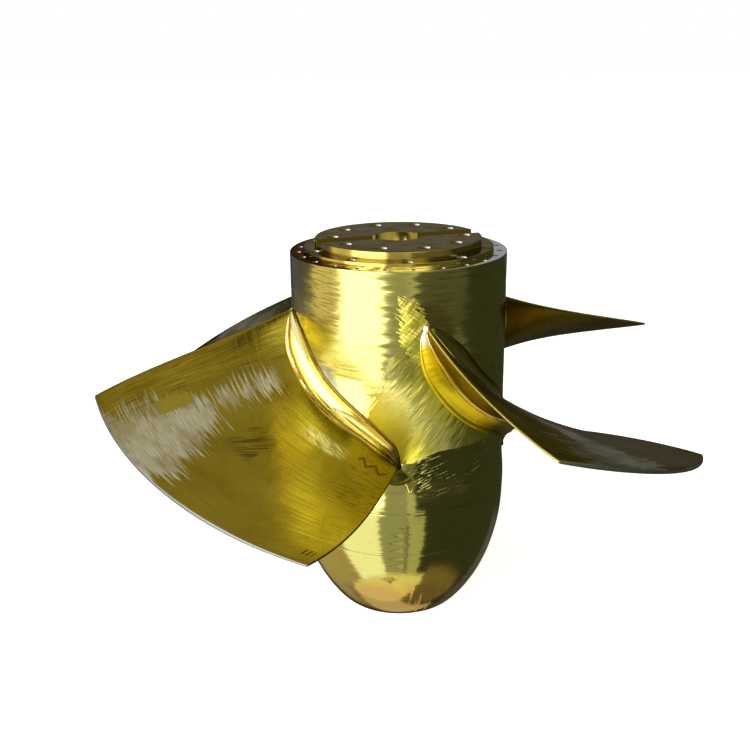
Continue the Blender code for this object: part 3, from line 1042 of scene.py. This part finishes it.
def round_place(tree):
    """Distance round the hub and height of a point, in metres."""
    x, y, z = place_on(tree)
    return reckon("ARCTAN2", x, y * -1.0) * HUB_RADIUS, z


def from_axis(tree):
    """The direction away from the axis, and how far a point lies that way."""
    away = joined(*place_on(tree)[:2])
    return vector_of("NORMALIZE", away), vector_of("LENGTH", away)


def round_axis(tree):
    """The direction round the axis."""
    return vector_of("CROSS_PRODUCT", UP, from_axis(tree)[0])


def leaning(tree, *leans):
    """The surface normal, leaned by each (direction, amount)."""
    normal = add_node(tree, "NewGeometry", output="Normal")
    for direction, amount in leans:
        normal = vector_of("ADD", normal, scaled(direction, amount))
    return vector_of("NORMALIZE", normal)


def centred(value, amount):
    """A noise value turned from 0..1 to plus or minus the amount, about its usual middle."""
    return (value - 0.5) * (2 * amount)


def strokes(x, y, angle, length, width, seed=0.0, detail=2.0):
    """Noise in strokes at an angle to x, about length long and width wide, in millimetres."""
    turn = radians(angle)
    along = x * cos(turn) + y * sin(turn)
    across = y * cos(turn) - x * sin(turn)
    return grain(joined(along / (length * MM), across / (width * MM), seed), 1.0, detail)


def within(value, low, high, soft):
    """1 where the value lies between low and high, easing to 0 over soft on both sides."""
    return eased(value, low - soft, low) * eased(value, high + soft, high)


def within_mm(value, low, high, soft):
    return within(value, low * MM, high * MM, soft * MM)


def eased_mm(value, low, high, *ends):
    return eased(value, low * MM, high * MM, *ends)


def new_metal(name, colour, roughness, **settings):
    return new_paint(name, {"Base Color": colour, "Metallic": 1.0, "Roughness": roughness, **settings})


# %% [markdown]
# The hub's finish. A turned and belted wall has fine rows round the axis. Each row leans a little its own
# way, so the edge of a reflection breaks up into teeth. In the dressed zone the strokes are coarse, run up
# to the right and lean much more, so that they gather light from a wide part of the room.

# %% The hub's finish
BRONZE = (0.80, 0.75, 0.23)
BROWNED = (0.64, 0.50, 0.13)
ZONE_MAPS = ("zone_side", "zone_foot", "lead_patch", "root_gap", "above_root")


def hub_finish():
    metal, tree, shader = new_metal("turned_bronze", BRONZE, 0.22)
    x, y = round_place(tree)
    stroke = partial(strokes, x, y)
    maps = [add_node(tree, "Attribute", output="Fac", attribute_name=name) for name in ZONE_MAPS]
    side, foot, patch, gap, above = maps
    wall_place = joined(x, y)

    teeth = centred(stroke(55, 60, 2.2, 3.0), 40 * MM)
    teeth = teeth + centred(stroke(-20, 20, 5, 4.0), 12 * MM)
    foot_edge = foot + centred(stroke(0, 40, 14, 5.0), 5 * MM)
    dressed = eased_mm(side + teeth, 0, 2) * eased_mm(foot_edge, 0, 1.5)
    patch_teeth = centred(stroke(-28, 24, 5, 6.0, 1.0), 26 * MM)
    patched = eased_mm(patch + patch_teeth, 0, 1)
    dressed = most(dressed, patched)
    bare = 1.0 - dressed

    rows = stroke(0, 110, 11, 1.0)
    fine_rows = stroke(0, 60, 1.5, 2.0)
    still = eased_mm(foot, -3, 3, 0.4, 1.0)
    row_lean = (centred(rows, 0.13) + centred(fine_rows, 0.05)) * still
    hand = stroke(53, 45, 2.4, 7.0)
    other_hand = stroke(44, 50, 4, 8.0)
    broad_hand = stroke(55, 60, 12, 9.0)
    gouge = eased(stroke(57, 40, 1.2, 12.0, 1.0), 0.66, 0.72)
    patch_hand = stroke(-35, 22, 2.4, 13.0)
    hand_lean = centred(hand, 0.3) + centred(other_hand, 0.2) + centred(broad_hand, 0.12) + gouge * -0.3
    hand_lean = hand_lean + patched * (centred(patch_hand, 0.3) - 0.13) + eased_mm(y, 460, 545, -0.31, -0.08)
    lean = grow_node("Mix", {0: dressed, 2: row_lean, 3: hand_lean})

    front = within_mm(x, 20, 200, 30) * eased_mm(y, 292, 315)
    worn = most(front, eased(grain(wall_place, 9.0), 0.5, 0.62))
    scratch = eased(stroke(16, 70, 1.3, 11.0, 1.0), 0.66, 0.71)
    scratch = scratch * eased(stroke(16, 10, 8, 14.0), 0.4, 0.5) * worn * eased_mm(foot, 4, 0)
    tears = eased(stroke(24, 22, 2.4, 16.0, 3.0), 0.55, 0.62)
    tears = tears * within_mm(x, 40, 56, 10) * within_mm(y, 316, 388, 6) * 0.7
    arm = abs(x - 21 * MM) * -2.2
    vee = abs(y + arm - 312 * MM + centred(rows, 6 * MM))
    vee = eased_mm(vee, 2.6, 1.2) * within_mm(y, 314, 346, 4) * eased_mm(x, 30, 22) * 0.6
    scratch = most(scratch, most(tears, vee))
    buffed = eased_mm(above + centred(fine_rows, 12 * MM) + centred(rows, 40 * MM), 110, 60) * bare
    up_lean = centred(fine_rows, 0.08) + buffed * 0.28

    rough = grow_node("Mix", {0: dressed, 2: eased(fine_rows, 0.3, 0.7, 0.13, 0.22), 3: 0.3})
    rough = rough * eased_mm(foot, -2, 2, 0.62, 1.0)

    stain = centred(grain(wall_place, 12.0, 4.0, 0.6), 0.6) + centred(rows, 0.5) + 0.5
    pale = buffed * eased_mm(y, 600, 550) * eased_mm(x, -105, -125)
    scuff = eased(stroke(-14, 26, 2.4, 15.0, 3.0), 0.56, 0.66)
    scuff_place = eased(grain(wall_place, 14.0, 1.0), 0.46, 0.6)
    left_side = within_mm(x, -190, -112, 16) * eased_mm(y, 580, 640) * bare
    brown_line = eased(stroke(-7, 34, 2.6, 17.0, 3.0), 0.5, 0.6)
    weld_brown = bare * eased_mm(gap, 34, 56, 0.7, 0.0) * eased_mm(y, 582, 622)
    corner = eased_mm(x + centred(fine_rows, 20 * MM), -174, -184) * eased_mm(y, 640, 690)
    worked = patched * eased(patch_hand, 0.62, 0.4, 0.3, 0.85)
    dark_hand = within_mm(y, 545, 606, 20) * within_mm(x, -28, 24, 12) * dressed
    dark_hand = dark_hand * eased(hand, 0.64, 0.46) * eased(patched, 0.9, 0.1) * 0.8
    # Painted shade: a dark oval on the bare wall just under the trailing end of the front blade's root.
    shade_under_trail = joined((x - 27 * MM) / (19 * MM), (y - 346 * MM) / (34 * MM))
    shade_under_trail = vector_of("LENGTH", shade_under_trail) + centred(fine_rows, 0.5)
    colour = painted(
        BRONZE,
        (eased(stain, 0.5, 0.9, 0.0, 0.8), BROWNED),
        (pale, (0.78, 0.74, 0.40)),
        (scuff * scuff_place * bare * 0.6, (0.50, 0.34, 0.08)),
        (left_side * 0.35, (0.66, 0.48, 0.16)),
        (left_side * brown_line * 0.75, (0.34, 0.22, 0.05)),
        (dressed * eased_mm(gap, 40, 110, 0.9, 0.0), (0.84, 0.74, 0.06)),
        (weld_brown, (0.50, 0.37, 0.06)),
        (corner * 0.6, (0.34, 0.33, 0.12)),
        (worked, (0.56, 0.49, 0.10)),
        (dark_hand, (0.24, 0.23, 0.06)),
        (eased(shade_under_trail, 1.15, 0.75) * bare * 0.85, (0.22, 0.20, 0.04)),
        (scratch, (1.0, 0.92, 0.25)),
    )
    normal = leaning(tree, (round_axis(tree), lean + scratch * -0.55), (UP, up_lean))
    feed(shader, {"Normal": normal, "Roughness": rough + scratch * 0.45, "Base Color": colour})
    return metal


turned_bronze = hub_finish()

# %% [markdown]
# The cone's finish. It is smoother than the barrel, so the room shows in it with crisp edges, broken by fine
# rows. Near its foot it is painted browner, as a painted reflection of the brown room below, with a scar
# where it was set down.

# %% The cone's finish
def cone_finish():
    metal, tree, shader = new_metal("cone_bronze", BRONZE, 0.14)
    x, y = round_place(tree)
    stroke = partial(strokes, x, y)
    wall_place = joined(x, y)
    rows = stroke(0, 80, 6, 1.0)
    fine_rows = stroke(0, 50, 1.5, 2.0)
    chatter_place = within_mm(x, -20, 6, 5) * within_mm(y, 148, 236, 8)
    saw = reckon("PINGPONG", y + centred(rows, 8 * MM), 9 * MM)
    streak = eased(stroke(84, 70, 13, 5.0, 1.0), 0.5, 0.64)
    streaked = streak * eased_mm(y, 110, 60) * eased_mm(x, 20, 40)
    lean = centred(rows, 0.04) + centred(fine_rows, 0.02) + saw * 18.0 * chatter_place + streaked * -0.2

    cloud = grain(wall_place, 18.0, 4.0, 0.6)
    # Painted reflection: the foot is painted browner, for the brown room that it would show.
    foot_brown_reflection = eased_mm(y + centred(cloud, 60 * MM), 70, 120, 0.8, 0.0)
    ticks = eased(stroke(4, 16, 1.2, 8.0), 0.66, 0.72) * 0.7
    scar_place = joined((x + 21 * MM) / (15 * MM), (y - 118 * MM) / (9 * MM))
    scar_edge = vector_of("LENGTH", scar_place) + centred(grain(wall_place, 120.0), 0.9)
    scar = eased(scar_edge, 1.0, 0.75) * eased(cloud, 0.35, 0.6, 0.4, 1.0)
    coats = ((foot_brown_reflection, (0.70, 0.48, 0.20)), (ticks, (0.28, 0.22, 0.06)), (scar, (0.36, 0.17, 0.05)))
    rough = eased(fine_rows, 0.3, 0.7, 0.08, 0.15) + streaked * 0.2
    normal = leaning(tree, (round_axis(tree), lean), (UP, centred(fine_rows, 0.05)))
    feed(shader, {"Normal": normal, "Roughness": rough, "Base Color": painted(BRONZE, *coats)})
    return metal


cone_bronze = cone_finish()

# %% [markdown]
# The blades' finish. They are brushed along the chord by hand, so their pattern follows the blade's own UV:
# across it is the chord, up it is the span. Long soft strokes lean the reflection, and a few bright and
# brown scratches lie over them. A pale ribbon over the upper skin is a painted reflection of the cool sky
# light, and the underside next to the root is painted dark, as painted shade.

# %% The blades' finish
def blade_finish():
    blade_tint = {"Specular Tint": (0.62, 0.58, 0.48)}
    metal, tree, shader = new_metal("brushed_bronze", (0.40, 0.32, 0.045), 0.3, **blade_tint)
    chord, span = place_on_map(tree)
    stroke = partial(strokes, chord, span)
    skin_place = joined(chord, span)
    share = chord / CHORD_ON_MAP
    upper = reckon("GREATER_THAN", chord, UNDER_ON_MAP / 2)
    brush = stroke(0, 70, 5, 1.0, 3.0)
    fine = stroke(4, 30, 1.2, 2.0)
    broad = stroke(75, 90, 18, 3.0)
    lean_out = centred(brush, 0.012) + centred(fine, 0.012)
    lean_side = centred(brush, 0.016) + centred(broad, 0.05)

    tarnish = grain(skin_place, 9.0, 4.0, 0.6)
    # Painted reflection: a pale ribbon over the upper skin, the cool sky light painted into the colour as a
    # sheen, with a short streak of it near the root.
    away = abs(share - eased(span, 0.06, 0.34, 0.25, 0.30))
    half = eased(span, 0.16, 0.37, 0.05, 0.17) + centred(brush, 0.18) + centred(fine, 0.05)
    sheen = eased(half - away + centred(tarnish, 0.08), -0.02, 0.045)
    jag = centred(grain(skin_place, 160.0, 3.0), 0.02)
    clean_patch = within(share + jag, 0.16, 0.222, 0.004) * within(span + jag, 0.235, 0.295, 0.002)
    patchy = grain(skin_place, 20.0, 3.0, 0.6)
    sheen = sheen * eased(span, 0.055, 0.085) * upper * (1.0 - clean_patch)
    sheen = sheen * eased(fine, 0.25, 0.6, 0.6, 1.0) * eased(patchy, 0.36, 0.58, 0.5, 1.0)
    broken = eased(stroke(20, 24, 3, 8.0), 0.38, 0.6)
    streak = within(share, 0.6, 0.72, 0.08) * within(span, 0.078, 0.096, 0.014) * upper * broken * 0.8
    sheen = most(sheen, streak)
    sky_sheen_colour = mixed(eased(fine, 0.35, 0.65), (0.78, 0.76, 0.72), (1.0, 1.0, 1.0))
    shade = within(share, 0.7, 1.2, 0.1) * eased(span, 0.27, 0.16) * upper * 0.85

    marks = eased(stroke(116, 60, 3.5, 5.0), 0.48, 0.56)
    marks = marks * within(share, 0.43, 0.54, 0.01) * within(span, 0.165, 0.225, 0.02) * upper
    lead_light = eased(stroke(90, 90, 2.2, 6.0, 3.0), 0.46, 0.6)
    lead_light = lead_light * within(chord, 0.006, 0.045, 0.02) * within(span, 0.05, 0.36, 0.03) * 0.75
    lead_dark = eased(stroke(90, 70, 1.4, 7.0, 3.0), 0.55, 0.63)
    lead_dark = lead_dark * within(chord, 0.0, 0.06, 0.02) * 0.8
    trail_marks = eased(stroke(-6, 26, 2.2, 9.0), 0.56, 0.64)
    trail_marks = trail_marks * within(share, 0.84, 1.0, 0.06) * within(span, 0.04, 0.2, 0.03) * upper
    zigzag = abs(span - 0.062 + reckon("PINGPONG", chord, 13 * MM) * -1.5)
    zigzag = eased_mm(zigzag, 5.6, 4) * within(share, 0.83, 0.97, 0.005) * upper
    ticks = eased_mm(reckon("PINGPONG", chord, 2.8 * MM), 1.5, 0.9) * within(share, 0.945, 0.98, 0.002)
    ticks = ticks * within(span, 0.352, 0.366, 0.001) * upper
    dark_marks = most(most(trail_marks, zigzag), ticks)
    # Painted shade: the underside next to the root is painted dark brown, where the blade overhangs the hub.
    root_underside_shade = (1.0 - upper) * eased(span, 0.09, 0.05) * 0.92
    colour = painted(
        mixed(eased(tarnish, 0.35, 0.7), (0.45, 0.37, 0.05), (0.34, 0.25, 0.02)),
        (eased(brush, 0.4, 0.7, 0.0, 0.2), (0.29, 0.22, 0.025)),
        (shade, (0.24, 0.19, 0.025)),
        (sheen, sky_sheen_colour),
        (clean_patch * upper * 0.8, (0.62, 0.52, 0.09)),
        (marks * 0.85, (0.16, 0.11, 0.03)),
        (lead_light, (0.70, 0.56, 0.06)),
        (lead_dark, (0.20, 0.13, 0.015)),
        (dark_marks * 0.9, (0.09, 0.05, 0.01)),
        (root_underside_shade, (0.24, 0.155, 0.012)),
    )
    normal = leaning(tree, (round_axis(tree), lean_side), (from_axis(tree)[0], lean_out))
    rough = eased(brush, 0.3, 0.7, 0.2, 0.3) + sheen * 0.12
    feed(shader, {"Normal": normal, "Roughness": rough, "Base Color": colour})
    return metal


brushed_bronze = blade_finish()

# %% [markdown]
# The welds' finish. The hollow is polished almost to a mirror by the last grinding disc, across the weld.
# Light is also painted into the colour: a pale painted highlight down the hollow and along the ridge, and
# dark painted shade in the groove, along the hub toe and at the trail end.

# %% The welds' finish
def weld_finish(name, body, roughness, lean, bias, scale):
    """A ground weld: its colour, roughness, how its marks lean, and scale: at 1, as on the upper welds, the
    hollow gets a painted highlight and the hub toe painted shade; at 0, as on the lower welds, the trailing
    part gets painted shade and the lead end a painted glint.
    """
    metal, tree, shader = new_metal(name, body, roughness)
    across, along = place_on_map(tree)
    marks = strokes(across, along, 0, 800, 6, 1.0)
    shaded = eased(along, 0.5, 0.74, 0.0, 1 - scale)
    side_lean = centred(marks, lean) + (1.0 - shaded) * bias
    uneven = across + centred(grain(joined(along), 30.0), 0.06)
    late = eased(along, 0.5, 0.8, 0.0, scale)
    colour = painted(
        body,
        # Painted highlight: a pale band down the middle of the hollow on the upper welds.
        (within(uneven, 0.36, 0.62, 0.12) * scale, (0.86, 0.78, 0.30)),
        (late * eased(uneven, 0.42, 0.3), (0.50, 0.34, 0.05)),
        # Painted shade in the groove beside the ridge, and a painted highlight along the ridge.
        (within(uneven, 0.77, 0.83, 0.03), (0.34, 0.21, 0.02)),
        (within(uneven, 0.87, 0.94, 0.03), (0.88, 0.76, 0.40)),
        # Painted shade along the hub toe of the upper welds, and a painted glint at the lead end of the lower
        # ones.
        (eased(uneven, 0.05, 0.13, scale, 0.0), (0.24, 0.15, 0.03)),
        (eased(along, 0.05, 0.01, 0.0, 1 - scale), (1.0, 0.96, 0.84)),
        # Painted shade over the trailing part of the lower welds, and painted shade at the trail end of every
        # weld.
        (shaded * 0.8, (0.30, 0.28, 0.05)),
        (eased(along, 0.93, 1.0, 0.0, 0.85), (0.10, 0.08, 0.02)),
    )
    normal = leaning(tree, (round_axis(tree), side_lean), (UP, centred(marks, lean)))
    rough = eased(marks, 0.3, 0.7, roughness - 0.04, roughness + 0.06)
    feed(shader, {"Normal": normal, "Roughness": rough, "Base Color": colour})
    return metal


ground_bronze = weld_finish("ground_bronze", (0.68, 0.53, 0.06), 0.13, 0.05, 0.0, 1.0)
dressed_weld = weld_finish("dressed_weld", (0.84, 0.66, 0.02), 0.4, 0.16, -0.34, 0.0)
edge_bronze = new_metal("ground_edge", (0.97, 0.86, 0.22), 0.42)[0]
# The flat of each tip is grey, a painted reflection of the cool sky light, so that it shows as a pale band.
tip_sky_grey = new_metal("tip_painted_sky_grey", (0.40, 0.40, 0.39), 0.5)[0]

# %% [markdown]
# The machined faces. The coupling end was faced on a lathe and has dulled to a grey brown. The tool leaves
# fine rings, which lean the normal in and out, and the faces are dulled in clouds. The walls of the slot and
# the bore are worn round, so they lean up and gather the light from above. The slot's walls and the walls of
# the holes are painted dark, as painted shade, and the rim is painted brown to the left and white to the
# right, as painted shade and painted light.

# %% The machined faces' finish
def faced_finish(name, bright, dull, roughness, side_shading=0.0, lift=0.0, **settings):
    """A faced metal: how strongly it is painted brown to the left and white to the right, as painted shade
    and light, and how far walls inside the coupling disc lean up, where they are also painted dark as painted
    shade.
    """
    metal, tree, shader = new_metal(name, bright, roughness, **settings)
    outward, out = from_axis(tree)
    rings = grain(joined(round_place(tree)[0] * 6.0, out * 700.0), 1.0)
    leans = [(outward, centred(rings, 0.05))]
    cloud = grain(add_node(tree, "TexCoord", output="Object"), 30.0, 4.0, 0.6)
    # Painted shade and light: the colour turns brown to the left and bright to the right, as strongly as
    # asked.
    cloud = cloud + (place_on(tree)[0] + 40 * MM) * -side_shading
    dulled = eased(cloud, 0.35, 0.7)
    colour = mixed(dulled, bright, dull)
    if lift:
        leans.append((UP, eased_mm(out, 158, 160, lift, 0.0)))
        # Painted shade: the walls inside the disc, those of the slot, are painted dark.
        colour = mixed(within_mm(out, 50, 159, 1), colour, (0.15, 0.115, 0.012))
    if side_shading:
        feed(shader, {"Specular Tint": mixed(dulled, (1.0, 1.0, 1.0), (0.46, 0.32, 0.22))})
    rough = eased(cloud, 0.3, 0.7, roughness - 0.06, roughness + 0.08)
    feed(shader, {"Normal": leaning(tree, *leans), "Roughness": rough, "Base Color": colour})
    return metal


FACE_TINT = {"Specular Tint": (0.62, 0.55, 0.40)}
faced_bronze = faced_finish("faced_bronze", (0.36, 0.31, 0.20), (0.22, 0.18, 0.09), 0.2, **FACE_TINT)
# The rim is painted white to the right and brown to the left, as painted light and painted shade.
rim_bronze = faced_finish("rim_bronze", (1.0, 1.0, 1.0), (0.17, 0.11, 0.07), 0.2, side_shading=2.6)
wall_bronze = faced_finish("turned_wall_bronze", (0.80, 0.66, 0.14), (0.66, 0.50, 0.12), 0.14, lift=0.84)
bush_bronze = faced_finish("bush_bronze", (0.80, 0.74, 0.26), (0.60, 0.54, 0.16), 0.2, lift=0.84)
plug_steel = faced_finish("plug_steel", (0.62, 0.62, 0.62), (0.45, 0.45, 0.46), 0.4)

# %% [markdown]
# The countersinks. The drill's last touch leaves a bright burr, and each one gathers the window at the front
# left.

# %% The countersinks' finish
hole_edge, hole_tree, hole_shader = new_metal("drilled_edge", (0.46, 0.44, 0.39), 0.3)
to_window = vector_of("ADD", add_node(hole_tree, "NewGeometry", output="Normal"), (0.2, -0.9, -0.2))
feed(hole_shader, {"Normal": vector_of("NORMALIZE", to_window)})
# Painted shade: the walls inside the holes are painted dark.
hole_wall_shade = new_metal("drilled_wall_shade", (0.20, 0.14, 0.05), 0.5)[0]

# %% [markdown]
# Putting it together. Every new piece gets its finish, stands for its CAD node and rides on the runner's one
# body. A face that looks straight up on the coupling end is machined, and its walls keep the yellow of
# turned bronze.

SLOT_SIDE = Vector((-sin(SLOT_AZIMUTH), cos(SLOT_AZIMUTH), 0))


def dress(piece, finishes, slot, *nodes):
    piece.data.materials.clear()
    for metal in finishes:
        piece.data.materials.append(metal)
    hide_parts(*nodes)
    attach(piece, "root")


def finish_tops(piece, lowest, hole_circle):
    """Above a height, faces that look up get the second finish. In the holes, countersinks get the third and
    walls the fourth. The hole circle is the inner and outer radius that only holes lie between, in mm."""
    inner, outer = hole_circle
    for face in piece.data.polygons:
        up = face.normal.z
        face.material_index = int(face.center.z > lowest and up > 0.8)
        if inner * MM < face.center.xy.length < outer * MM and up < 0.8:
            if up > 0.6 and face.normal.x < -0.2 and face.center.x < 165 * MM:
                face.material_index = 2
            elif up > -0.1 and abs(face.normal.dot(SLOT_SIDE)) < 0.999:
                face.material_index = 3


DRILLED = [faced_bronze, hole_edge, hole_wall_shade]
dress(barrel, [turned_bronze, rim_bronze, hole_edge, hole_wall_shade], "polished_bronze", "hub_barrel")
finish_tops(barrel, RIM_HEIGHT - 2 * MM, (188, 202))
dress(cone, [cone_bronze], "polished_bronze", "cone_shell")
dress(nose, [cone_bronze], "polished_bronze", "nose_cap")
dress(disc, [wall_bronze] + DRILLED, "machined_bronze", "coupling_disc")
finish_tops(disc, RIM_HEIGHT, (115, 140))
dress(step_ring, [wall_bronze] + DRILLED, "machined_bronze", "step_ring")
finish_tops(step_ring, RIM_HEIGHT, (163, 182))
dress(bush, [bush_bronze], "polished_bronze", "bore_bush")
dress(plug, [plug_steel], "steel", "ring_hole_plug")
for i in range(4):
    dress(blades[i], [brushed_bronze, edge_bronze, tip_sky_grey], "brushed_bronze", f"blade_{i + 1}")
    mark_edges(blades[i].data, i)
    dress(upper_welds[i], [ground_bronze], "ground_bronze", f"root_weld_upper_{i + 1}")
    dress(lower_welds[i], [dressed_weld], "ground_bronze", f"root_weld_lower_{i + 1}")

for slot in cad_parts["hub_deck"].material_slots:
    slot.material = wall_bronze
